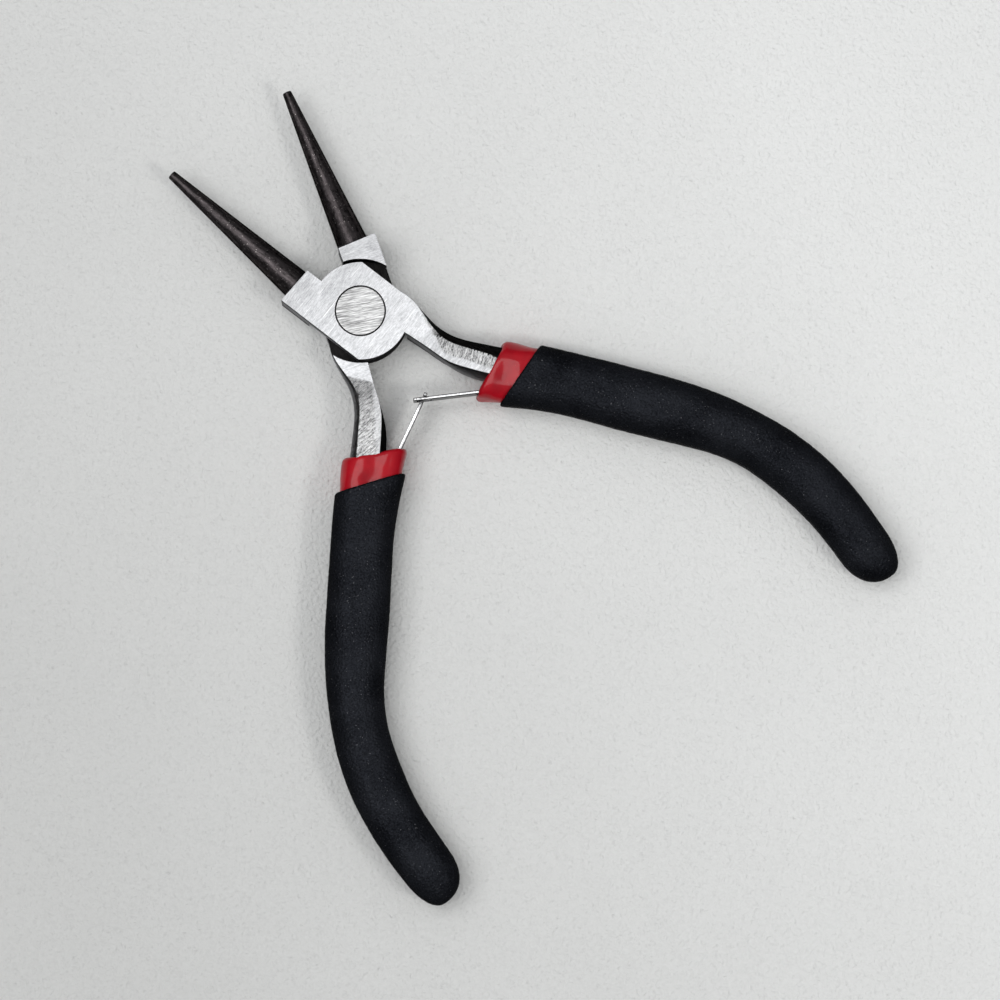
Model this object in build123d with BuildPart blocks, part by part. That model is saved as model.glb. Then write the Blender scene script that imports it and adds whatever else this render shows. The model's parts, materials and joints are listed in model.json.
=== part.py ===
from build123d import *
import os
from math import atan, cos, radians, sin

# Small round nose pliers: two forged halves on a flush rivet, dipped handles, hooked leaf springs.
# Millimetres. +Z runs up the pivot axis from the underside of the joint, +Y to the nose, +X right.
# Both halves are one shape. It is drawn closed, as the upper half: jaw left of the nose line, handle
# right of it. UPPER and LOWER then set it open, the lower one turned over about the nose line.

# Joint
OPEN_ANGLE = 32.8
JOINT_THICKNESS = 6.8
MID = JOINT_THICKNESS / 2
LAP_GAP = 0.04
FLAT_HALF_WIDTH = 6.15
DISC_RADIUS = 7.55
RECESS_RADIUS = 8.08

# Shoulder between the joint and the jaw
SHOULDER_FRONT = 10.45
SHOULDER_FRONT_SLOPE = 0.06
SHOULDER_GAP = 0.05

# Round jaw: a plain cone whose inner side lies along the nose line
JAW_LENGTH = 26.0
JAW_BASE_RADIUS = 2.46
JAW_TIP_RADIUS = 0.7
JAW_TIP_ROUND = 0.2
JAW_GAP = 0.07
JAW_ROOT_DEPTH = 2.0

# Neck between the joint and the handle covers: its sides at mid thickness, and on its top and bottom
# faces with the half closed as the upper one, each drawn from inside the joint to just under the collar
NECK_STRAIGHT = 1.5
NECK_WIDE_INNER = [(1.6, -3), (1.65, -8), (1.85, -12), (2.0, -16), (2.4, -18.6), (3.4, -21.5), (4.3, -23.4)]
NECK_WIDE_OUTER = [(6.15, -3), (6.1, -7), (5.55, -10.5), (5.85, -13.6), (7.2, -17), (8.7, -20), (9.9, -22.4)]
NECK_FLAT_INNER = [(1.55, -3), (1.6, -8), (1.9, -12), (2.2, -15.6), (3.1, -18), (4.5, -21), (5.4, -22.9)]
NECK_TOP_OUTER = [(6.1, -3), (5.55, -8), (4.7, -10.7), (4.45, -13.2), (5.55, -17), (6.6, -20), (7.6, -22.6)]
NECK_BOTTOM_OUTER = [(6.1, -3), (5.6, -8), (4.85, -10.7), (4.85, -13.2), (6.2, -17), (7.45, -20), (8.6, -22.6)]
RELIEF_START = (2.4, -10.6)
RELIEF_END = (6.0, -8.3)
RELIEF_ANGLE = 1.8

# Handle centreline, and the red sleeve along it: distance from its start, width and thickness
HANDLE_CENTRES = [(2.9, -17.4), (4.4, -20.0), (7.75, -25.8), (10.05, -30.2), (14.35, -40.0), (18.55, -50.0),
                  (21.2, -58.5), (21.95, -66.0), (21.2, -75.0), (19.5, -81.8), (16.9, -89.6)]
SLEEVE_SECTIONS = [(0, 9.9, 7.1), (4.5, 9.6, 7.1), (9.7, 9.1, 7.2), (14.7, 8.7, 7.4), (27, 8.7, 7.9),
                   (36.2, 8.4, 8.4), (41.5, 7.8, 8.1), (47, 7.5, 7.7), (52.7, 7.7, 7.5), (61.7, 7.55, 7.2),
                   (69.9, 7.3, 6.8)]
CORNER_SHARE = 0.42
SLEEVE_FRONT = (4.5, -21.35)
SLEEVE_FRONT_ANGLE = 9.5
SLEEVE_FRONT_ROUND = 0.7

# The black grip over the sleeve, and the rounded end of both, which leans to the outer side
GRIP_WALL = 0.5
GRIP_END_WALL = 1.0
GRIP_FRONT = (7.9, -25.45)
GRIP_FRONT_ANGLE = 3.0
GRIP_FRONT_ROUND = 0.25
DOME_POWER = 2.4
DOME_LEAN = 0.25
DOME_SHARES = (0.36, 0.64, 0.84, 0.96, 0.998)

# Tang inside the covers: distance along the centreline, width and thickness
TANG_SECTIONS = [(4.2, 4.6, 5.4), (9.7, 5.2, 5.2), (20, 5.2, 5.0), (36.2, 4.8, 4.6), (52.7, 4.2, 4.2),
                 (69, 3.4, 3.8)]

# Pivot rivet: fast in the lower half, its head let into the upper half with a running clearance
SHANK_RADIUS = 2.7
HEAD_RADIUS = 3.82
HEAD_DEPTH = 1.7
TAIL_RADIUS = 3.5
TAIL_ANGLE = 90
RUNNING_CLEARANCE = 0.04
HEAD_SEAT_CLEARANCE = 0.05
HEAD_EDGE_BREAK = 0.08
HOLE_EDGE_BREAK = 0.1

# Leaf springs: each is riveted to a seat on the inner side of its tang and leaves through the collar.
# Lengths along a leaf are counted from the point where the two leaves cross.
LEAF_THICKNESS = 0.5
LEAF_WIDTH = 3.6
LEAF_BEND_RADIUS = 3.0
LEAF_ROOT = (1.16, -21.76)
LEAF_CROSSING = (-4.667, -15.857)
LEAF_CLEARANCE = 0.02
FOOT_HALF_LENGTH = 3.0
SEAT_STATION = 11.8
SEAT_OFFSET = 2.0
SEAT_LENGTH = 10.0
SLOTTED_REACH = 1.5
WINDOW_START = -1.3
WINDOW_END = 1.0
WINDOW_HEIGHT = 1.7
TONGUED_REACH = 1.0
TONGUE_START = -0.6
TONGUE_END = 0.45
TONGUE_HEIGHT = 1.2
HOOK_HEIGHT = 2.9
SPRING_RIVET_RADIUS = 0.8
SPRING_RIVET_HEAD_RADIUS = 1.4
SPRING_RIVET_HEAD = 0.5
SPRING_RIVET_DEPTH = 3.0
POCKET_CLEARANCE = 0.08

half_angle = radians(OPEN_ANGLE / 2)
UPPER = Plane(origin=(0, 0, 0), x_dir=(cos(half_angle), sin(half_angle), 0), z_dir=(0, 0, 1))
LOWER = Plane(origin=(0, 0, JOINT_THICKNESS), x_dir=(-cos(half_angle), sin(half_angle), 0), z_dir=(0, 0, -1))

os.makedirs("parts", exist_ok=True)


# ---- Handle centreline and the planes across it

with BuildLine() as handle_line:
    Spline(*HANDLE_CENTRES)
handle_curve = handle_line.edges()[0]


def station_plane(distance):
    """Plane across the handle, its X to the outer side and its Z along the handle to the end."""
    point = handle_curve.position_at(distance, position_mode=PositionMode.LENGTH)
    along = handle_curve.tangent_at(distance, position_mode=PositionMode.LENGTH)
    return Plane(
        origin=(point.X, point.Y, MID),
        x_dir=(-along.Y, along.X, 0),
        z_dir=(along.X, along.Y, 0),
    )


# ---- Handle covers, closed as the upper ones

def cover_sections(wall, end):
    """Distance, shift outwards, width and thickness of a cover that adds a wall to the sleeve."""
    sections = [(place, 0, width + 2 * wall, thickness + 2 * wall) for place, width, thickness in SLEEVE_SECTIONS]
    last, _, last_width, last_thickness = sections[-1]
    for share in DOME_SHARES:
        scale = (1 - share**DOME_POWER) ** (1 / DOME_POWER)
        shift = DOME_LEAN * (1 - scale) * last_width / 2
        sections.append((last + share * (end - last), shift, scale * last_width, scale * last_thickness))
    return sections


def cover_blank(wall, end, front, front_angle, front_round):
    """Solid cover, cut across at its front and rounded there, before anything is taken out of it."""
    front_plane = Plane(
        origin=(*front, 0),
        x_dir=(cos(radians(front_angle)), sin(radians(front_angle)), 0),
        z_dir=(-sin(radians(front_angle)), cos(radians(front_angle)), 0),
    )
    with BuildPart() as blank:
        for place, shift, width, thickness in cover_sections(wall, end):
            with BuildSketch(station_plane(place)):
                with Locations((shift, 0)):
                    RectangleRounded(width, thickness, CORNER_SHARE * thickness)
        loft()
        split(bisect_by=front_plane, keep=Keep.BOTTOM)
        front_face = blank.faces().sort_by(Axis(front_plane.origin, front_plane.z_dir))[-1]
        fillet(front_face.edges(), radius=front_round)
    return blank.part


# ---- Leaf springs and their rivet, closed as the upper ones

seat = station_plane(SEAT_STATION)
seat_plane = Plane(origin=seat.origin - seat.x_dir * SEAT_OFFSET, x_dir=seat.z_dir, z_dir=-seat.x_dir)
foot_middle = seat_plane.origin + seat_plane.z_dir * (LEAF_CLEARANCE + LEAF_THICKNESS / 2)
foot_end = foot_middle + seat_plane.x_dir * FOOT_HALF_LENGTH
foot_bend = foot_middle - seat_plane.x_dir * FOOT_HALF_LENGTH
crossing = Vector(*LEAF_CROSSING, MID)
leaf_along = (crossing - Vector(*LEAF_ROOT, MID)).normalized()
leaf_plane = Plane(origin=crossing, x_dir=leaf_along, z_dir=leaf_along.cross(Vector(0, 0, 1)))


def leaf_strip(reach, thickness, width):
    """Strip from its riveted foot, through the bend, to an end the given reach past the crossing."""
    tip = crossing + leaf_along * reach
    with BuildPart() as strip:
        with BuildSketch(Plane.XY.offset(MID)):
            with BuildLine():
                FilletPolyline(
                    (foot_end.X, foot_end.Y),
                    (foot_bend.X, foot_bend.Y),
                    (tip.X, tip.Y),
                    radius=LEAF_BEND_RADIUS,
                )
            trace(line_width=thickness)
        extrude(amount=width / 2, both=True)
        with BuildSketch(seat_plane):
            Circle(SPRING_RIVET_RADIUS + LEAF_CLEARANCE)
        extrude(amount=2 * thickness, mode=Mode.SUBTRACT)
    return strip.part


def slotted_leaf():
    """Leaf with a window near its free end, closed by an end bar."""
    with BuildPart() as leaf:
        add(leaf_strip(SLOTTED_REACH, LEAF_THICKNESS, LEAF_WIDTH))
        with BuildSketch(leaf_plane):
            with Locations(((WINDOW_START + WINDOW_END) / 2, 0)):
                Rectangle(WINDOW_END - WINDOW_START, WINDOW_HEIGHT)
        extrude(amount=LEAF_THICKNESS, both=True, mode=Mode.SUBTRACT)
    return leaf.part


def tongued_leaf():
    """Leaf that narrows to a tongue and ends in a T-shaped hook."""
    with BuildPart() as leaf:
        add(leaf_strip(TONGUED_REACH, LEAF_THICKNESS, LEAF_WIDTH))
        with BuildSketch(leaf_plane):
            for start, end, height in (
                (TONGUE_START, TONGUE_END, TONGUE_HEIGHT),
                (TONGUE_END, 2 * TONGUED_REACH, HOOK_HEIGHT),
            ):
                with Locations(((start + end) / 2, 0)):
                    Rectangle(end - start, 2 * LEAF_WIDTH)
                    Rectangle(end - start, height, mode=Mode.SUBTRACT)
        extrude(amount=LEAF_THICKNESS, both=True, mode=Mode.SUBTRACT)
    return leaf.part


def spring_rivet():
    """Small round-headed rivet through the leaf's foot into the tang."""
    head_base = LEAF_THICKNESS + 2 * LEAF_CLEARANCE
    with BuildPart() as rivet:
        with BuildSketch(Plane(seat_plane.origin, x_dir=seat_plane.x_dir, z_dir=-seat_plane.y_dir)):
            with BuildLine():
                Polyline(
                    (0, head_base + SPRING_RIVET_HEAD),
                    (0, -SPRING_RIVET_DEPTH),
                    (SPRING_RIVET_RADIUS, -SPRING_RIVET_DEPTH),
                    (SPRING_RIVET_RADIUS, head_base),
                    (SPRING_RIVET_HEAD_RADIUS, head_base),
                )
                TangentArc(
                    (0, head_base + SPRING_RIVET_HEAD),
                    (SPRING_RIVET_HEAD_RADIUS, head_base),
                    tangent=(1, 0),
                )
            make_face()
        revolve(axis=Axis(seat_plane.origin, seat_plane.z_dir))
    return rivet.part


def spring_pocket():
    """Room inside the sleeve for the leaf and its rivet's head."""
    with BuildPart() as pocket:
        add(leaf_strip(SLOTTED_REACH, LEAF_THICKNESS + 2 * POCKET_CLEARANCE, LEAF_WIDTH + 2 * POCKET_CLEARANCE))
        with BuildSketch(seat_plane):
            Circle(SPRING_RIVET_HEAD_RADIUS + POCKET_CLEARANCE)
        extrude(amount=LEAF_THICKNESS + SPRING_RIVET_HEAD + POCKET_CLEARANCE)
    return pocket.part


# ---- Forged half, closed as the upper one

def neck_outline(height, inner, outer):
    """Neck outline between its two smooth sides, on a level plane."""
    with BuildSketch(Plane.XY.offset(height)) as shape:
        with BuildLine():
            Spline(*inner)
            Line(inner[-1], outer[-1])
            Spline(*outer)
            Line(outer[0], inner[0])
        make_face()
    return shape.sketch


def relief_plane(height, side):
    """Plane that leaves a flat face of the joint along a slanting line and sinks towards the handle."""
    middle = ((RELIEF_START[0] + RELIEF_END[0]) / 2, (RELIEF_START[1] + RELIEF_END[1]) / 2, height)
    along = (RELIEF_END[0] - RELIEF_START[0], RELIEF_END[1] - RELIEF_START[1], 0)
    return Plane(origin=middle, x_dir=along, z_dir=(0, 0, side)).rotated((side * RELIEF_ANGLE, 0, 0))


def forged_half():
    """Jaw, shoulder, lap plate, neck and tang in one piece, before the pivot hole."""
    shoulder_rise = SHOULDER_FRONT_SLOPE * FLAT_HALF_WIDTH / 2
    jaw_slope = atan((JAW_BASE_RADIUS - JAW_TIP_RADIUS) / JAW_LENGTH)
    jaw_base = (-JAW_GAP - JAW_BASE_RADIUS * cos(jaw_slope), SHOULDER_FRONT, MID)

    with BuildPart() as half:
        # Joint plate with flats on its sides, and the shoulder
        with BuildSketch():
            Circle(DISC_RADIUS)
            Rectangle(2 * FLAT_HALF_WIDTH, 2 * DISC_RADIUS, mode=Mode.INTERSECT)
            with BuildLine():
                Polyline(
                    (-FLAT_HALF_WIDTH, 0),
                    (-FLAT_HALF_WIDTH, SHOULDER_FRONT + shoulder_rise),
                    (-SHOULDER_GAP, SHOULDER_FRONT - shoulder_rise),
                    (-SHOULDER_GAP, 0),
                    close=True,
                )
            make_face()
        extrude(amount=JOINT_THICKNESS)

        # Neck: upright sides about mid thickness, drafted from there to the flat faces
        add(neck_outline(MID - NECK_STRAIGHT, NECK_WIDE_INNER, NECK_WIDE_OUTER))
        extrude(amount=2 * NECK_STRAIGHT, dir=(0, 0, 1))
        for height, side, outer in ((JOINT_THICKNESS, 1, NECK_TOP_OUTER), (0, -1, NECK_BOTTOM_OUTER)):
            add(neck_outline(MID + side * NECK_STRAIGHT, NECK_WIDE_INNER, NECK_WIDE_OUTER))
            add(neck_outline(height, NECK_FLAT_INNER, outer))
            loft(ruled=True)
        for height, side in ((JOINT_THICKNESS, 1), (0, -1)):
            split(bisect_by=relief_plane(height, side), keep=Keep.BOTTOM)

        # Tang inside the covers, with a flat seat and a hole for the leaf spring's rivet
        for place, width, thickness in TANG_SECTIONS:
            with BuildSketch(station_plane(place)):
                Rectangle(width, thickness)
        loft()
        with BuildSketch(seat_plane):
            Rectangle(SEAT_LENGTH, JOINT_THICKNESS)
        extrude(amount=SEAT_OFFSET, mode=Mode.SUBTRACT)
        with BuildSketch(seat_plane):
            Circle(SPRING_RIVET_RADIUS)
        extrude(amount=-SPRING_RIVET_DEPTH, mode=Mode.SUBTRACT)

        # Lap: the inner layer is cleared for the other half's plate
        with BuildSketch():
            Circle(RECESS_RADIUS)
        extrude(amount=MID + LAP_GAP / 2, mode=Mode.SUBTRACT)

        # Round jaw
        jaw_plane = Plane(jaw_base, x_dir=(cos(jaw_slope), -sin(jaw_slope), 0), z_dir=(0, 0, 1))
        with BuildSketch(jaw_plane):
            with BuildLine():
                Polyline(
                    (0, -JAW_ROOT_DEPTH),
                    (JAW_BASE_RADIUS, -JAW_ROOT_DEPTH),
                    (JAW_BASE_RADIUS, 0),
                    (JAW_TIP_RADIUS, JAW_LENGTH),
                    (0, JAW_LENGTH),
                    close=True,
                )
            make_face()
        revolve(axis=Axis(jaw_plane.origin, jaw_plane.y_dir))
        tip_edge = half.edges().filter_by(GeomType.CIRCLE).sort_by(Axis.Y)[-1]
        fillet(tip_edge, radius=JAW_TIP_ROUND)
    return half.part


# ---- Closed shapes that the two sides share

half_shape = forged_half()
rivet_shape = spring_rivet()
handle_end = handle_curve.length
sleeve_outside = cover_blank(0, handle_end - GRIP_END_WALL, SLEEVE_FRONT, SLEEVE_FRONT_ANGLE, SLEEVE_FRONT_ROUND)

with BuildPart() as sleeve_shape:
    add(sleeve_outside)
    add(half_shape, mode=Mode.SUBTRACT)
    add(spring_pocket(), mode=Mode.SUBTRACT)
    add(rivet_shape, mode=Mode.SUBTRACT)

with BuildPart() as grip_shape:
    add(cover_blank(GRIP_WALL, handle_end, GRIP_FRONT, GRIP_FRONT_ANGLE, GRIP_FRONT_ROUND))
    add(sleeve_outside, mode=Mode.SUBTRACT)


# ---- Halves and pivot rivet

with BuildPart(UPPER) as upper_half:
    add(half_shape)
    with Locations((0, 0, JOINT_THICKNESS)):
        CounterBoreHole(
            radius=SHANK_RADIUS + RUNNING_CLEARANCE,
            counter_bore_radius=HEAD_RADIUS + RUNNING_CLEARANCE,
            counter_bore_depth=HEAD_DEPTH + HEAD_SEAT_CLEARANCE,
        )
    hole_edge = upper_half.edges().filter_by(GeomType.CIRCLE).group_by(Axis.Z)[-1].sort_by(SortBy.RADIUS)[0]
    chamfer(hole_edge, length=HOLE_EDGE_BREAK)
upper_half.part.label = "upper_half"
export_step(upper_half.part, "parts/upper_half.step")

with BuildPart(LOWER) as lower_half:
    add(half_shape)
    with Locations((0, 0, JOINT_THICKNESS)):
        CounterSinkHole(radius=SHANK_RADIUS, counter_sink_radius=TAIL_RADIUS, counter_sink_angle=TAIL_ANGLE)
lower_half.part.label = "lower_half"
export_step(lower_half.part, "parts/lower_half.step")

with BuildPart() as pivot_rivet:
    with BuildSketch(Plane.XZ):
        with BuildLine():
            Polyline(
                (0, 0),
                (TAIL_RADIUS, 0),
                (SHANK_RADIUS, TAIL_RADIUS - SHANK_RADIUS),
                (SHANK_RADIUS, JOINT_THICKNESS - HEAD_DEPTH),
                (HEAD_RADIUS, JOINT_THICKNESS - HEAD_DEPTH),
                (HEAD_RADIUS, JOINT_THICKNESS),
                (0, JOINT_THICKNESS),
                close=True,
            )
        make_face()
    revolve(axis=Axis.Z)
    chamfer(pivot_rivet.edges().group_by(Axis.Z)[-1], length=HEAD_EDGE_BREAK)
pivot_rivet.part.label = "pivot_rivet"
export_step(pivot_rivet.part, "parts/pivot_rivet.step")


# ---- Pieces that each handle carries

def place_on_handle(shape, frame, name):
    """One piece of a handle, set open with its half and written to its file."""
    with BuildPart(frame) as piece:
        add(shape)
    piece.part.label = name
    export_step(piece.part, f"parts/{name}.step")


place_on_handle(sleeve_shape.part, UPPER, "upper_sleeve")
place_on_handle(sleeve_shape.part, LOWER, "lower_sleeve")
place_on_handle(grip_shape.part, UPPER, "upper_grip")
place_on_handle(grip_shape.part, LOWER, "lower_grip")
place_on_handle(slotted_leaf(), UPPER, "slotted_leaf_spring")
place_on_handle(tongued_leaf(), LOWER, "tongued_leaf_spring")
place_on_handle(rivet_shape, UPPER, "upper_spring_rivet")
place_on_handle(rivet_shape, LOWER, "lower_spring_rivet")
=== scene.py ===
import json
import math

import bmesh
import bpy
from mathutils import Matrix, Vector


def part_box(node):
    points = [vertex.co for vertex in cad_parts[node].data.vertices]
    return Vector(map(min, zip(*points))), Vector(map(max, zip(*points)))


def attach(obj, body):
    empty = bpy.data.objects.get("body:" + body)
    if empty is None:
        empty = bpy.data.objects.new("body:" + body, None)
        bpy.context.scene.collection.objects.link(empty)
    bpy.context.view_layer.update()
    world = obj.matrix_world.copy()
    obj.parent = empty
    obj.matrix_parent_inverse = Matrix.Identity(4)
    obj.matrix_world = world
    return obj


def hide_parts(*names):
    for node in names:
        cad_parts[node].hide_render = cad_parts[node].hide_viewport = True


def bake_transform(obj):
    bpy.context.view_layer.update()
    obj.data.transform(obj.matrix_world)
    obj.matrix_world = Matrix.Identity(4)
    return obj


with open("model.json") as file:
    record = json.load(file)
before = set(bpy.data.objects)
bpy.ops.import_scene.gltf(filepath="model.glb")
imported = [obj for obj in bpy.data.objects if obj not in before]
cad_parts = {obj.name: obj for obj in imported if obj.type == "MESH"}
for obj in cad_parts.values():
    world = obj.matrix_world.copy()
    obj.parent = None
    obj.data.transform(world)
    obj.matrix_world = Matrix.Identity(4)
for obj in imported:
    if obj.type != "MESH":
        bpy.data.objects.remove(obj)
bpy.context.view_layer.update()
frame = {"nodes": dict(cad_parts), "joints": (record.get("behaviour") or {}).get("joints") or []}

# ---------------------------------------------------------------- sizes, in metres unless said
MM = 0.001
SIDES = ("upper", "lower")
JOINTS = {joint["name"]: joint for joint in frame["joints"]}
CLOSE_ANGLE = math.radians(-JOINTS["pivot"]["range_deg"][0] / 2)
MID_Z = JOINTS["pivot"]["pos_m"][2]
FLOOR_Z = min(corner.z for corner in (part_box("upper_grip")[0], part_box("lower_grip")[0]))

# Camera, aimed at the middle of the open tool
CAMERA_TARGET = Vector((0.445 * MM, -36.124 * MM, MID_Z))
CAMERA_ROLL = math.radians(35.94)
CAMERA_TILT_X = math.radians(-4.3)
CAMERA_TILT_Y = math.radians(2.0)
CAMERA_DISTANCE = 600 * MM
FOCAL_PER_WIDTH = 3.8825
SENSOR = 36.0

# Room: strength near the horizon, overhead, and added where the camera sees it
ROOM_LOW = 0.08
ROOM_HIGH = 0.56
ROOM_SEEN = 0.62

# Colours of the floor at the two ends of a painted light falloff across it, and of the fine and the coarse
# grinding on the halves
FLOOR_IN_PAINTED_SHADE = (0.66, 0.662, 0.652, 1)
FLOOR_IN_PAINTED_LIGHT = (0.93, 0.935, 0.925, 1)
GROUND_DARK = (0.37, 0.374, 0.385, 1)
GROUND_LIGHT = (0.68, 0.685, 0.70, 1)
COARSE_DARK = (0.08, 0.08, 0.082, 1)
COARSE_LIGHT = (0.62, 0.62, 0.62, 1)

# Directions of the strokes on the necks, from the half's X axis, and of the rivet's lines, from the
# lower half's X axis
NECK_STROKE_ANGLE = math.radians(21)
RIVET_LINE_TURN = math.radians(-9)

# Where the halves' finishes change, in millimetres in the half's own axes: height of the ground faces from
# mid thickness, start of the jaw, and lines on the necks, each through two (x, y) points. FACING_UP is the
# upward share of the normal on a face counted as flat.
FACING_UP = (0.94, 0.97)
GROUND_DEPTH = (2.72, 2.78)
JAW_ROOT = (10.3, 10.9)
UPPER_ZONE_HEAD = (3.8, -11.4), (2.5, -14.3)
UPPER_ZONE_SIDE = (2.7, -14.3), (4.5, -19.4)
UPPER_BLACK_SIDE = (4.7, -13.2), (7.6, -22.0)
LOWER_ZONE_START = (2.4, -10.6)
LOWER_ZONE_END = (6.0, -8.3)
LOWER_RIM_SIDE = (2.5, -14.0), (4.6, -21.0)
LOWER_BLACK_SIDE = (5.0, -13.2), (8.3, -21.6)
HOOK_START = (-17.3, -16.9)

# How CAD meshes are welded and how steel edges are broken
WELD = 0.002 * MM
STEEL_EDGE = 0.09 * MM
LEAF_EDGE = 0.15 * MM

# Leaf springs: where they bend, counted from their hinge towards the hook, and the cuts along them
LEAF_BEND_START = -0.9 * MM
LEAF_CUT_STEP = 0.45 * MM
LEAF_CUTS = 14
LEAF_HEAD_TO_HOOK = 0.85 * MM

# Handle covers: remeshing size, smoothing passes, and how far the skins stand proud or ripple
SLEEVE_VOXEL = 0.20 * MM
SLEEVE_PASSES = 24
SLEEVE_DIP = 0.50 * MM
GRIP_VOXEL = 0.22 * MM
GRIP_PASSES = 4
GRIP_SWELL = 0.04 * MM
GRIP_WAVE = 0.18 * MM
GRIP_PEBBLE = 0.10 * MM


# ---------------------------------------------------------------- node tree helper
class Tree:
    """A material's node tree with short calls for the nodes used here."""

    def __init__(self, name):
        self.material = bpy.data.materials.new(name)
        self.material.use_nodes = True
        self.nodes = self.material.node_tree.nodes
        self.links = self.material.node_tree.links
        self.nodes.clear()
        self.output = self.nodes.new("ShaderNodeOutputMaterial")
        self.shader = self.nodes.new("ShaderNodeBsdfPrincipled")
        self.links.new(self.shader.outputs[0], self.output.inputs["Surface"])

    def put(self, socket, value):
        """Links an output socket to an input, or sets the input's value."""
        if isinstance(value, bpy.types.NodeSocket):
            self.links.new(value, socket)
        else:
            socket.default_value = value

    def position(self):
        """Object coordinates in millimetres."""
        coords = self.nodes.new("ShaderNodeTexCoord").outputs["Object"]
        return self.vector("SCALE", coords, scale=1 / MM)

    def normal(self):
        return self.nodes.new("ShaderNodeNewGeometry").outputs["Normal"]

    def vector(self, operation, a, b=None, scale=None):
        node = self.nodes.new("ShaderNodeVectorMath")
        node.operation = operation
        self.put(node.inputs[0], a)
        if b is not None:
            self.put(node.inputs[1], b)
        if scale is not None:
            self.put(node.inputs["Scale"], scale)
        return node.outputs["Value"] if operation in ("DOT_PRODUCT", "LENGTH") else node.outputs["Vector"]

    def math(self, operation, a, b=0.0, clamp=False):
        node = self.nodes.new("ShaderNodeMath")
        node.operation = operation
        node.use_clamp = clamp
        self.put(node.inputs[0], a)
        self.put(node.inputs[1], b)
        return node.outputs[0]

    def rotate(self, vector, angle):
        """Vector turned about Z."""
        node = self.nodes.new("ShaderNodeVectorRotate")
        node.rotation_type = "Z_AXIS"
        self.put(node.inputs["Vector"], vector)
        node.inputs["Angle"].default_value = angle
        return node.outputs[0]

    def axis(self, vector, which):
        node = self.nodes.new("ShaderNodeSeparateXYZ")
        self.put(node.inputs[0], vector)
        return node.outputs[which]

    def noise(self, vector, scale, detail=2.0, stretch=(1, 1, 1), rough=0.5, offset=(0, 0, 0)):
        """Noise whose features shrink along an axis as its stretch number grows."""
        placed = self.vector("MULTIPLY", vector, stretch)
        placed = self.vector("ADD", placed, offset)
        node = self.nodes.new("ShaderNodeTexNoise")
        self.put(node.inputs["Vector"], placed)
        node.inputs["Scale"].default_value = scale
        node.inputs["Detail"].default_value = detail
        node.inputs["Roughness"].default_value = rough
        return node.outputs["Fac"]

    def cells(self, vector, scale):
        node = self.nodes.new("ShaderNodeTexVoronoi")
        node.feature = "SMOOTH_F1"
        self.put(node.inputs["Vector"], vector)
        node.inputs["Scale"].default_value = scale
        return node.outputs["Distance"]

    def remap(self, value, low, high, to_low=0.0, to_high=1.0, smooth=False):
        node = self.nodes.new("ShaderNodeMapRange")
        node.interpolation_type = "SMOOTHSTEP" if smooth else "LINEAR"
        self.put(node.inputs["Value"], value)
        for name, number in (("From Min", low), ("From Max", high), ("To Min", to_low), ("To Max", to_high)):
            self.put(node.inputs[name], number)
        return node.outputs[0]

    def mix(self, share, a, b):
        """Colour a where share is 0 and b where it is 1."""
        node = self.nodes.new("ShaderNodeMix")
        node.data_type = "RGBA"
        self.put(node.inputs[0], share)
        self.put(node.inputs[6], a)
        self.put(node.inputs[7], b)
        return node.outputs[2]

    def blend(self, share, a, b):
        """Number a where share is 0 and b where it is 1."""
        node = self.nodes.new("ShaderNodeMix")
        self.put(node.inputs[0], share)
        self.put(node.inputs[2], a)
        self.put(node.inputs[3], b)
        return node.outputs[0]

    def bump(self, height, distance, strength=1.0, base=None):
        node = self.nodes.new("ShaderNodeBump")
        node.inputs["Strength"].default_value = strength
        node.inputs["Distance"].default_value = distance
        self.put(node.inputs["Height"], height)
        if base is not None:
            self.links.new(base, node.inputs["Normal"])
        return node.outputs[0]

    def finish(self, **values):
        """Sets the shader's inputs by name, with _ for a space, and returns the material."""
        for name, value in values.items():
            self.put(self.shader.inputs[name.replace("_", " ")], value)
        return self.material


def grey(value):
    return (value, value, value, 1)


# ---------------------------------------------------------------- materials
def brushed(tree, local, seed):
    """Grinding lines along the half's own X axis: (brightness about 0 to 1, height)."""
    line = tree.noise(local, 1.0, 2.0, stretch=(0.9, 5.5, 1), rough=0.6, offset=(seed, 0, 0))
    grain = tree.noise(local, 1.0, 2.0, stretch=(2.6, 7.5, 1), rough=0.7, offset=(0, seed, 0))
    broad = tree.noise(local, 1.0, 2.0, stretch=(0.12, 1.4, 1), offset=(seed, seed, 0))
    patch = tree.noise(local, 0.30, 3.0, offset=(seed, 0, seed))
    level = tree.math("ADD", tree.math("MULTIPLY", line, 0.34), tree.math("MULTIPLY", grain, 0.34))
    level = tree.math("ADD", level, tree.math("MULTIPLY", broad, 0.14))
    level = tree.math("ADD", level, tree.math("MULTIPLY", patch, 0.18))
    return tree.remap(level, 0.39, 0.61), line


def scratches(tree, local, seed, level):
    """A few long thin scratches: 1 where there is one."""
    trace = tree.noise(local, 1.0, 1.0, stretch=(0.16, 5.5, 1), offset=(3 * seed, seed, 0))
    return tree.remap(trace, level, level + 0.05, smooth=True)


def pits(tree, local, seed, level):
    """Scattered small dark nicks: 1 where there is one."""
    spots = tree.noise(local, 2.0, 2.0, rough=0.6, offset=(seed, 3 * seed, 0))
    return tree.remap(spots, level, level + 0.04, smooth=True)


def coarse_grinding(tree, local, seed):
    """Short strokes across the neck, left by a coarser wheel: brightness about 0 to 1."""
    turned = tree.rotate(local, -NECK_STROKE_ANGLE)
    stroke = tree.noise(turned, 1.0, 2.0, stretch=(0.9, 5.6, 1), rough=0.6, offset=(seed, 0, 0))
    grain = tree.noise(turned, 1.0, 2.0, stretch=(3.6, 7.0, 1), rough=0.6, offset=(0, seed, 0))
    return tree.remap(tree.blend(0.45, stroke, grain), 0.38, 0.62)


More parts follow.
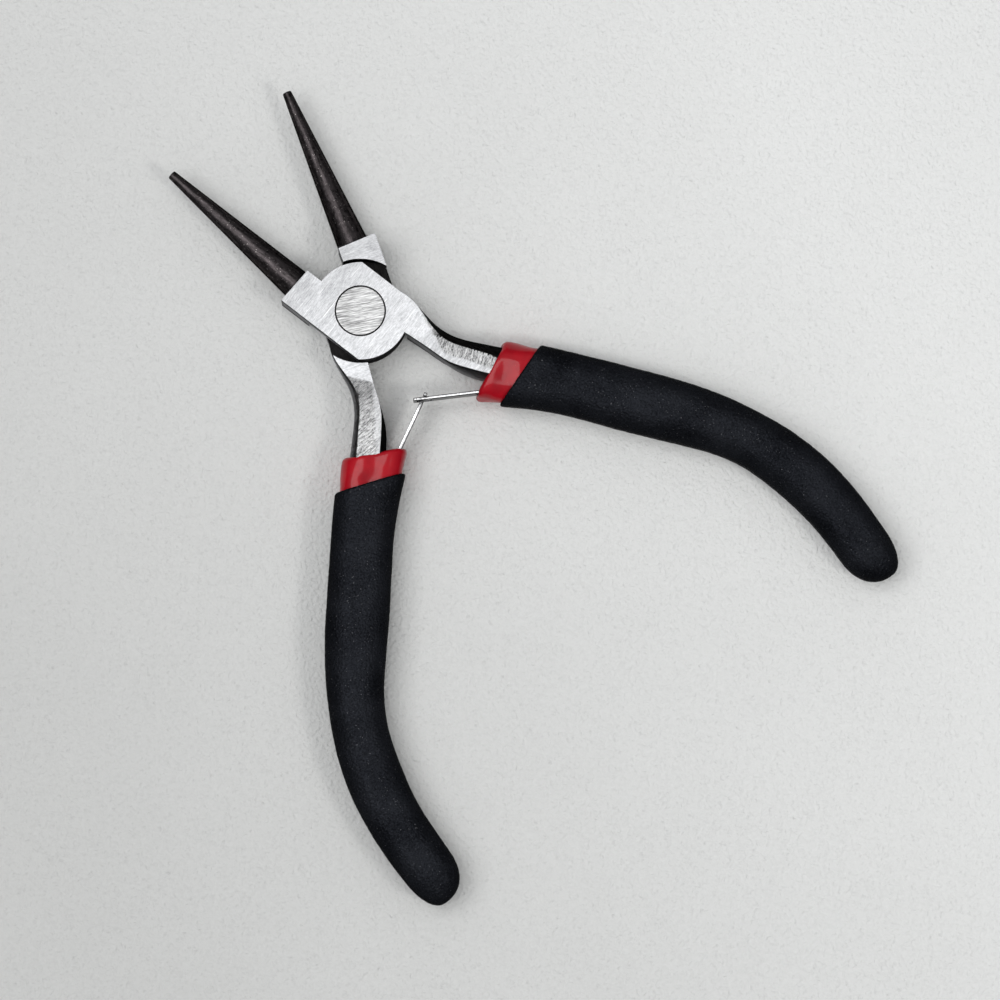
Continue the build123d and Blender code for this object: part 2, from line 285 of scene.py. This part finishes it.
def line_through(tree, y, start, end):
    """X of a straight line through two points at the given Y."""
    slope = (end[0] - start[0]) / (end[1] - start[1])
    return tree.math("ADD", tree.math("MULTIPLY", y, slope), start[0] - slope * start[1])


def upper_neck(tree, x, y, local):
    """Upper half's neck: (coarser zone on its outer side, ragged black outer edge)."""
    wander = tree.math("MULTIPLY", tree.noise(local, 1.6, 3.0, rough=0.6, offset=(5, 0, 0)), 0.9)
    inside = tree.math("SUBTRACT", x, line_through(tree, y, *UPPER_ZONE_HEAD))
    along = tree.math("SUBTRACT", x, line_through(tree, y, *UPPER_ZONE_SIDE))
    zone = tree.math("ADD", tree.math("MINIMUM", inside, along), wander)
    strokes = tree.rotate(local, -NECK_STROKE_ANGLE)
    tooth = tree.noise(strokes, 1.0, 2.0, stretch=(0.8, 4.5, 1), offset=(0, 8, 0))
    outer = tree.math("SUBTRACT", x, line_through(tree, y, *UPPER_BLACK_SIDE))
    ragged = tree.math("ADD", outer, tree.math("MULTIPLY", tooth, 1.5))
    below_joint = tree.remap(y, -10.6, -12.0)
    return tree.remap(zone, 0.35, 0.75), tree.math("MULTIPLY", tree.remap(ragged, 0.60, 0.72), below_joint)


def lower_neck(tree, x, y, local):
    """Lower half's neck: (coarser zone below a slanting line, ragged black outer edge)."""
    wide = tree.math("ABSOLUTE", x)
    wander = tree.math("MULTIPLY", tree.noise(local, 0.9, 2.0, offset=(0, 7, 0)), 0.6)
    start_x, start_y = LOWER_ZONE_START
    slope = (LOWER_ZONE_END[1] - start_y) / (LOWER_ZONE_END[0] - start_x)
    line = tree.math("ADD", tree.math("MULTIPLY", wide, slope), start_y - slope * start_x)
    zone = tree.math("ADD", tree.math("SUBTRACT", line, y), wander)
    rim = tree.math("SUBTRACT", wide, line_through(tree, y, *LOWER_RIM_SIDE))
    zone = tree.math("MULTIPLY", tree.remap(zone, 0.25, 0.6), tree.remap(rim, 0.0, 0.5, 0.5, 1.0))
    tooth = tree.noise(local, 1.0, 2.0, stretch=(0.8, 3.5, 1), offset=(0, 8, 0))
    outer = tree.math("SUBTRACT", wide, line_through(tree, y, *LOWER_BLACK_SIDE))
    ragged = tree.math("ADD", outer, tree.math("MULTIPLY", tooth, 0.9))
    return zone, tree.math("MULTIPLY", tree.remap(ragged, 0.42, 0.52), tree.remap(y, -10.6, -12.5))


def forged_material(name, turn, seed, neck, shade):
    """Bright ground faces, and black oxide everywhere else, on one forged half, with a painted grey
    reflection of the floor on the walls facing the half's -X side.
    """
    tree = Tree(name)
    position = tree.position()
    local = tree.rotate(position, -turn)
    x, y = tree.axis(local, 0), tree.axis(local, 1)
    depth = tree.math("ABSOLUTE", tree.math("SUBTRACT", tree.axis(position, 2), MID_Z / MM))
    upright = tree.math("ABSOLUTE", tree.axis(tree.normal(), 2))
    coarse, ragged = neck(tree, x, y, local)
    flat = tree.math("MULTIPLY", tree.remap(depth, *GROUND_DEPTH), tree.remap(upright, *FACING_UP))
    flat = tree.math("MULTIPLY", flat, tree.math("SUBTRACT", 1.0, ragged))

    # Ground faces: fine lines with a few scratches and nicks, darker towards the jaws, coarser and greyer on
    # the neck, where they darken towards the joint
    level, line = brushed(tree, local, seed)
    ground = tree.mix(level, GROUND_DARK, GROUND_LIGHT)
    ground = tree.mix(tree.remap(y, -7.0, 10.0, 0.0, 0.24), ground, grey(0.0))
    ground = tree.mix(tree.math("MULTIPLY", scratches(tree, local, seed, 0.66), 0.45), ground, grey(0.26))
    ground = tree.mix(tree.math("MULTIPLY", scratches(tree, local, seed + 5, 0.69), 0.6), ground, grey(0.86))
    stroke = coarse_grinding(tree, local, seed)
    rough_steel = tree.mix(tree.remap(y, -12.0, -18.0, shade, 1.0), COARSE_DARK, COARSE_LIGHT)
    ground = tree.mix(coarse, ground, tree.mix(stroke, COARSE_DARK, rough_steel))
    ground = tree.mix(pits(tree, local, seed, 0.745), ground, grey(0.08))

    # Black oxide, streaked along the jaws and rubbed in spots towards their tips; the walls facing the half's
    # -X side get a painted grey reflection of the floor
    streak = tree.noise(local, 1.0, 3.0, stretch=(2.6, 0.35, 2.6), rough=0.6, offset=(0, 0, seed))
    mottle = tree.noise(local, 2.4, 3.0, stretch=(1, 0.6, 1), rough=0.7, offset=(seed, 0, seed))
    tone = tree.remap(tree.blend(0.45, streak, mottle), 0.36, 0.66)
    oxide = tree.mix(tone, (0.011, 0.010, 0.010, 1), (0.068, 0.059, 0.061, 1))
    rub = tree.noise(local, 4.5, 2.0, stretch=(1, 0.5, 1), rough=0.7, offset=(seed, 4, seed))
    on_jaw = tree.remap(y, *JAW_ROOT)
    worn = tree.math("MULTIPLY", tree.remap(rub, 0.64, 0.72), tree.remap(y, 9.0, 14.0, 0.0, 0.5))
    oxide = tree.mix(worn, oxide, (0.50, 0.46, 0.45, 1))
    wall = tree.mix(tone, (0.006, 0.006, 0.006, 1), (0.022, 0.020, 0.020, 1))
    # Painted reflection: walls facing the half's -X side get a grey steel colour for the floor they would
    # mirror, strongest within about 1.2 mm of mid-thickness
    outward = tree.math("MULTIPLY", tree.axis(tree.rotate(tree.normal(), -turn), 0), -1.0)
    painted_reflection = tree.math("MULTIPLY", tree.remap(outward, 0.55, 0.9), tree.remap(depth, 2.6, 1.2, 0.15, 1.0))
    wall = tree.mix(painted_reflection, wall, tree.mix(tone, (0.30, 0.30, 0.31, 1), (0.55, 0.55, 0.56, 1)))
    oxide = tree.mix(on_jaw, wall, oxide)

    height = tree.blend(flat, tree.math("MULTIPLY", mottle, 2.0), tree.blend(coarse, line, stroke))
    return tree.finish(
        Base_Color=tree.mix(flat, oxide, ground),
        Metallic=tree.blend(flat, 0.9, 0.88),
        Specular_IOR_Level=0.1,
        Specular_Tint=tree.mix(flat, grey(0.12), grey(1.0)),
        Roughness=tree.blend(flat, tree.blend(on_jaw, 0.5, tree.remap(mottle, 0.3, 0.7, 0.24, 0.36)), 0.40),
        Normal=tree.bump(height, 0.012 * MM, 0.7),
    )


def rivet_material(name, turn, seed):
    """Rivet ground flush, with coarser and darker lines than the halves."""
    tree = Tree(name)
    local = tree.rotate(tree.position(), -turn)
    line = tree.noise(local, 1.0, 2.0, stretch=(0.22, 5.4, 1), rough=0.6, offset=(seed, 0, 0))
    hair = tree.noise(local, 1.0, 2.0, stretch=(0.7, 9.0, 1), rough=0.7, offset=(0, seed, 0))
    level = tree.remap(tree.blend(0.5, line, hair), 0.40, 0.61)
    steel = tree.mix(level, (0.20, 0.20, 0.20, 1), (0.68, 0.68, 0.68, 1))
    steel = tree.mix(tree.math("MULTIPLY", scratches(tree, local, seed, 0.64), 0.7), steel, grey(0.10))
    steel = tree.mix(pits(tree, local, seed, 0.72), steel, grey(0.06))
    face = tree.remap(tree.math("ABSOLUTE", tree.axis(tree.normal(), 2)), *FACING_UP)
    return tree.finish(
        Base_Color=tree.mix(face, grey(0.008), steel),
        Metallic=0.88,
        Specular_IOR_Level=0.1,
        Specular_Tint=tree.mix(face, grey(0.12), grey(1.0)),
        Roughness=0.42,
        Normal=tree.bump(line, 0.014 * MM, 0.7),
    )


def spring_material(name, seed):
    """Spring strip: bright rolled edge, flat sides painted near black as shade in place of the bright floor
    they would mirror, streaked along its length.
    """
    tree = Tree(name)
    position = tree.position()
    streak = tree.noise(position, 1.0, 3.0, stretch=(1.5, 1.5, 9.0), rough=0.6, offset=(seed, 0, 0))
    edge = tree.noise(position, 2.5, 2.0, rough=0.6, offset=(0, seed, 0))
    # Painted shade: the flat sides get a near-black colour instead of the bright floor they would reflect
    side = tree.mix(tree.remap(streak, 0.3, 0.7), (0.012, 0.012, 0.013, 1), (0.06, 0.06, 0.062, 1))
    rim = tree.mix(tree.remap(edge, 0.3, 0.7), (0.50, 0.50, 0.51, 1), (0.90, 0.90, 0.91, 1))
    hook = tree.remap(tree.axis(position, 1), *HOOK_START, 0.0, 0.8)
    rim = tree.mix(hook, rim, tree.mix(tree.remap(edge, 0.4, 0.6), grey(0.03), grey(0.45)))
    upright = tree.math("ABSOLUTE", tree.axis(tree.normal(), 2))
    return tree.finish(
        Base_Color=tree.mix(tree.remap(upright, 0.93, 0.985), side, rim),
        Metallic=0.92,
        Specular_IOR_Level=0.2,
        Roughness=tree.remap(streak, 0.3, 0.7, 0.24, 0.4),
        Normal=tree.bump(streak, 0.008 * MM, 0.4),
    )


def vinyl_material(name, seed):
    """Glossy red dipped vinyl, faintly uneven, with a little dust."""
    tree = Tree(name)
    position = tree.position()
    cloud = tree.noise(position, 0.3, 3.0, offset=(seed, 0, 0))
    ripple = tree.noise(position, 0.55, 2.0, offset=(0, seed, 0))
    speck = tree.remap(tree.noise(position, 5.0, 2.0, rough=0.7, offset=(0, 0, seed)), 0.71, 0.76)
    colour = tree.mix(tree.remap(cloud, 0.3, 0.7), (0.30, 0.0030, 0.010, 1), (0.47, 0.0050, 0.014, 1))
    colour = tree.mix(tree.math("MULTIPLY", speck, 0.25), colour, (0.75, 0.35, 0.35, 1))
    skin = tree.bump(ripple, 0.14 * MM, 0.6)
    return tree.finish(
        Base_Color=colour,
        Roughness=tree.remap(cloud, 0.3, 0.7, 0.28, 0.36),
        Normal=tree.bump(tree.noise(position, 6.0, 2.0), 0.006 * MM, 0.4, skin),
        Specular_IOR_Level=0.05,
        Coat_Weight=0.42,
        Coat_Roughness=0.12,
    )


def grip_material(name, seed):
    """Matt black grip with a fine pebbled skin and a little grey dust in scattered specks."""
    tree = Tree(name)
    position = tree.position()
    pebble = tree.cells(position, 3.0)
    fine = tree.noise(position, 4.2, 3.0, rough=0.7, offset=(seed, 0, 0))
    cloud = tree.noise(position, 0.16, 3.0, offset=(0, seed, 0))
    high = tree.remap(pebble, 0.10, 0.55, 1.0, 0.0)
    tint = tree.math("ADD", tree.math("MULTIPLY", fine, 0.6), tree.math("MULTIPLY", cloud, 0.4))
    colour = tree.mix(tree.remap(tint, 0.35, 0.68), (0.004, 0.0045, 0.006, 1), (0.026, 0.028, 0.034, 1))
    speck = tree.remap(tree.noise(position, 3.6, 1.0, offset=(0, 0, seed)), 0.70, 0.76)
    colour = tree.mix(tree.math("MULTIPLY", speck, 0.4), colour, (0.20, 0.20, 0.21, 1))
    skin = tree.bump(high, 0.08 * MM, 0.9)
    return tree.finish(
        Base_Color=colour,
        Metallic=0.75,
        Specular_IOR_Level=0.05,
        Specular_Tint=grey(0.10),
        Roughness=tree.remap(cloud, 0.3, 0.7, 0.44, 0.54),
        Normal=tree.bump(fine, 0.05 * MM, 0.8, skin),
    )


def floor_material():
    """Pale grey matt sheet with a fine leathery grain, and a painted light falloff: darker towards the
    picture's left and bottom, brighter towards its right and top.
    """
    tree = Tree("pale_sheet")
    position = tree.position()
    soft = tree.noise(position, 0.02, 3.0)
    grain = tree.noise(position, 1.7, 4.0, rough=0.6)
    crease = tree.cells(position, 1.7)
    # Painted light falloff: the colour runs from dim at the picture's left and bottom to bright at its right
    # and top, with a slow wobble
    across = tree.axis(tree.rotate(position, CAMERA_ROLL), 0)
    upward = tree.axis(tree.rotate(position, CAMERA_ROLL), 1)
    side = tree.remap(tree.blend(0.36, across, upward), -62.0, 62.0)
    side = tree.math("ADD", side, tree.math("MULTIPLY", tree.math("SUBTRACT", soft, 0.5), 0.25))
    colour = tree.mix(side, FLOOR_IN_PAINTED_SHADE, FLOOR_IN_PAINTED_LIGHT)
    skin = tree.bump(crease, 0.18 * MM, 0.9)
    return tree.finish(
        Base_Color=colour,
        Roughness=0.62,
        Specular_IOR_Level=0.3,
        Normal=tree.bump(grain, 0.38 * MM, 1.0, skin),
    )


# ---------------------------------------------------------------- meshes taken from the frame
def copy_of(node, name):
    """A new object with its own welded copy of a CAD node's mesh."""
    mesh = frame["nodes"][node].data.copy()
    mesh.name = name
    work = bmesh.new()
    work.from_mesh(mesh)
    bmesh.ops.remove_doubles(work, verts=work.verts, dist=WELD)
    work.to_mesh(mesh)
    work.free()
    piece = bpy.data.objects.new(name, mesh)
    bpy.context.scene.collection.objects.link(piece)
    return piece


def bake(piece):
    """Turns the piece's modifiers into its mesh."""
    graph = bpy.context.evaluated_depsgraph_get()
    mesh = bpy.data.meshes.new_from_object(piece.evaluated_get(graph))
    piece.modifiers.clear()
    piece.data = mesh
    return piece


def paint(piece, material):
    piece.data.materials.clear()
    piece.data.materials.append(material)


def clouds(name, size, depth=3):
    texture = bpy.data.textures.new(name, "CLOUDS")
    texture.noise_scale = size
    texture.noise_depth = depth
    return texture


def soften(piece, voxel, passes, swell, layers):
    """Remeshes a cover finely, smooths and swells it, and ripples its skin by layers of (texture, height)."""
    remesh = piece.modifiers.new("remesh", "REMESH")
    remesh.mode = "VOXEL"
    remesh.voxel_size = voxel
    smooth = piece.modifiers.new("smooth", "SMOOTH")
    smooth.iterations = passes
    smooth.factor = 0.5
    fuller = piece.modifiers.new("fuller", "DISPLACE")
    fuller.strength = swell
    fuller.mid_level = 0.0
    for texture, height in layers:
        skin = piece.modifiers.new("skin", "DISPLACE")
        skin.texture = texture
        skin.texture_coords = "LOCAL"
        skin.strength = height
        skin.mid_level = 0.5
    bake(piece)
    for polygon in piece.data.polygons:
        polygon.use_smooth = True
    return piece


def crisp(node, material):
    """Keeps a steel CAD node as it is, with tidy faces and finely broken edges."""
    piece = frame["nodes"][node]
    paint(piece, material)
    weld = piece.modifiers.new("weld", "WELD")
    weld.merge_threshold = WELD
    tidy = piece.modifiers.new("tidy", "DECIMATE")
    tidy.decimate_type = "DISSOLVE"
    tidy.angle_limit = math.radians(0.4)
    edge = piece.modifiers.new("edge", "BEVEL")
    edge.width = STEEL_EDGE
    edge.segments = 2
    edge.limit_method = "ANGLE"
    edge.angle_limit = math.radians(32)
    edge.harden_normals = False
    normals = piece.modifiers.new("normals", "WEIGHTED_NORMAL")
    normals.keep_sharp = True
    for polygon in piece.data.polygons:
        polygon.use_smooth = True
    return piece


def leaf(node, material):
    """A leaf spring cut across its length, which bends just outside its handle's collar."""
    joint = JOINTS[node.replace("_spring", "_flex")]
    root = Vector(joint["pos_m"])
    hook = Vector((0, root.y, root.z))
    hook.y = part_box(node)[1].y - LEAF_HEAD_TO_HOOK
    along = (hook - root).normalized()
    piece = copy_of(node, node.replace("_spring", "_strip"))
    work = bmesh.new()
    work.from_mesh(piece.data)
    for step in range(1, LEAF_CUTS + 1):
        bmesh.ops.bisect_plane(
            work,
            geom=work.verts[:] + work.edges[:] + work.faces[:],
            plane_co=root + along * (LEAF_BEND_START + step * LEAF_CUT_STEP),
            plane_no=along,
            dist=0.001 * MM,
        )
    work.to_mesh(piece.data)
    work.free()
    edge = piece.modifiers.new("edge", "BEVEL")
    edge.width = LEAF_EDGE
    edge.segments = 3
    edge.limit_method = "ANGLE"
    edge.angle_limit = math.radians(40)
    bake(piece)
    for polygon in piece.data.polygons:
        polygon.use_smooth = True
    paint(piece, material)
    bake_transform(piece)
    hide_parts(node)
    return piece


# ---------------------------------------------------------------- steel pieces
crisp("upper_half", forged_material("upper_steel", CLOSE_ANGLE, 3.0, upper_neck, 0.8))
crisp("lower_half", forged_material("lower_steel", -CLOSE_ANGLE, 11.0, lower_neck, 0.45))
crisp("pivot_rivet", rivet_material("rivet_steel", RIVET_LINE_TURN - CLOSE_ANGLE, 6.0))
for side in SIDES:
    paint(frame["nodes"][f"{side}_spring_rivet"], bpy.data.materials["rivet_steel"])
strip_steel = spring_material("strip_steel", 2.0)
leaf("slotted_leaf_spring", strip_steel)
leaf("tongued_leaf_spring", strip_steel)

# ---------------------------------------------------------------- handle covers
red_vinyl = vinyl_material("red_vinyl", 4.0)
black_skin = grip_material("black_skin", 9.0)
wave = clouds("wave", 9 * MM)
pebble = clouds("pebble", 0.55 * MM)
dip = clouds("dip", 3.2 * MM, 0)
for side in SIDES:
    sleeve = copy_of(f"{side}_sleeve", f"{side}_red_sleeve")
    soften(sleeve, SLEEVE_VOXEL, SLEEVE_PASSES, 0.0, [(dip, SLEEVE_DIP)])
    paint(sleeve, red_vinyl)
    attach(sleeve, side)
    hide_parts(f"{side}_sleeve")
    grip = copy_of(f"{side}_grip", f"{side}_black_grip")
    soften(grip, GRIP_VOXEL, GRIP_PASSES, GRIP_SWELL, [(wave, GRIP_WAVE), (pebble, GRIP_PEBBLE)])
    paint(grip, black_skin)
    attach(grip, side)
    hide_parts(f"{side}_grip")


# ---------------------------------------------------------------- floor, light and camera
def from_view(right, up, height):
    """Place above the aim point, counted along the picture's right and up directions."""
    across = Vector((math.cos(CAMERA_ROLL), -math.sin(CAMERA_ROLL), 0))
    upward = Vector((math.sin(CAMERA_ROLL), math.cos(CAMERA_ROLL), 0))
    return CAMERA_TARGET + across * right + upward * up + Vector((0, 0, height))


def soft_light(name, place, size, watts, colour):
    """Square area light aimed at the middle of the tool."""
    lamp = bpy.data.lights.new(name, "AREA")
    lamp.size = size
    lamp.energy = watts
    lamp.color = colour
    holder = bpy.data.objects.new(name, lamp)
    holder.location = place
    holder.rotation_euler = (CAMERA_TARGET - place).to_track_quat("-Z", "Y").to_euler()
    bpy.context.scene.collection.objects.link(holder)


def make_room():
    """World that lights from overhead and little from the horizon, and looks pale all round."""
    world = bpy.data.worlds.new("pale_room")
    world.use_nodes = True
    nodes, links = world.node_tree.nodes, world.node_tree.links
    background = nodes["Background"]
    background.inputs["Color"].default_value = (0.97, 0.985, 1.0, 1)
    split = nodes.new("ShaderNodeSeparateXYZ")
    links.new(nodes.new("ShaderNodeTexCoord").outputs["Generated"], split.inputs[0])
    rise = nodes.new("ShaderNodeMapRange")
    rise.interpolation_type = "SMOOTHSTEP"
    links.new(split.outputs["Z"], rise.inputs["Value"])
    for name, number in (("From Min", 0.15), ("From Max", 0.9), ("To Min", ROOM_LOW), ("To Max", ROOM_HIGH)):
        rise.inputs[name].default_value = number
    seen = nodes.new("ShaderNodeMath")
    seen.operation = "MULTIPLY_ADD"
    links.new(nodes.new("ShaderNodeLightPath").outputs["Is Camera Ray"], seen.inputs[0])
    seen.inputs[1].default_value = ROOM_SEEN
    links.new(rise.outputs[0], seen.inputs[2])
    links.new(seen.outputs[0], background.inputs["Strength"])
    bpy.context.scene.world = world


def make_stage():
    """Pale floor under the tool, the room, and two soft lights."""
    bpy.ops.mesh.primitive_plane_add(size=4.0, location=(0, 0, FLOOR_Z - 0.05 * MM))
    floor = bpy.context.active_object
    floor.name = "pale_floor"
    paint(floor, floor_material())
    make_room()
    soft_light("ceiling", from_view(-0.28, 0.02, 0.80), 0.6, 3.6, (1.0, 1.0, 1.0))
    soft_light("window", from_view(0.34, -0.20, 0.55), 0.12, 0.75, (1.0, 0.99, 0.97))


def make_camera():
    """Camera over the tool, turned and tilted about its aim point."""
    data = bpy.data.cameras.new("camera")
    data.sensor_width = SENSOR
    data.lens = FOCAL_PER_WIDTH * SENSOR
    data.clip_start = 0.01
    camera = bpy.data.objects.new("camera", data)
    turn = (
        Matrix.Rotation(CAMERA_TILT_Y, 4, "Y")
        @ Matrix.Rotation(CAMERA_TILT_X, 4, "X")
        @ Matrix.Rotation(CAMERA_ROLL, 4, "Z")
    )
    camera.matrix_world = (
        Matrix.Translation(CAMERA_TARGET) @ turn.inverted() @ Matrix.Translation((0, 0, CAMERA_DISTANCE))
    )
    bpy.context.scene.collection.objects.link(camera)
    bpy.context.scene.camera = camera


make_stage()
make_camera()
bpy.context.scene.view_settings.view_transform = "Standard"
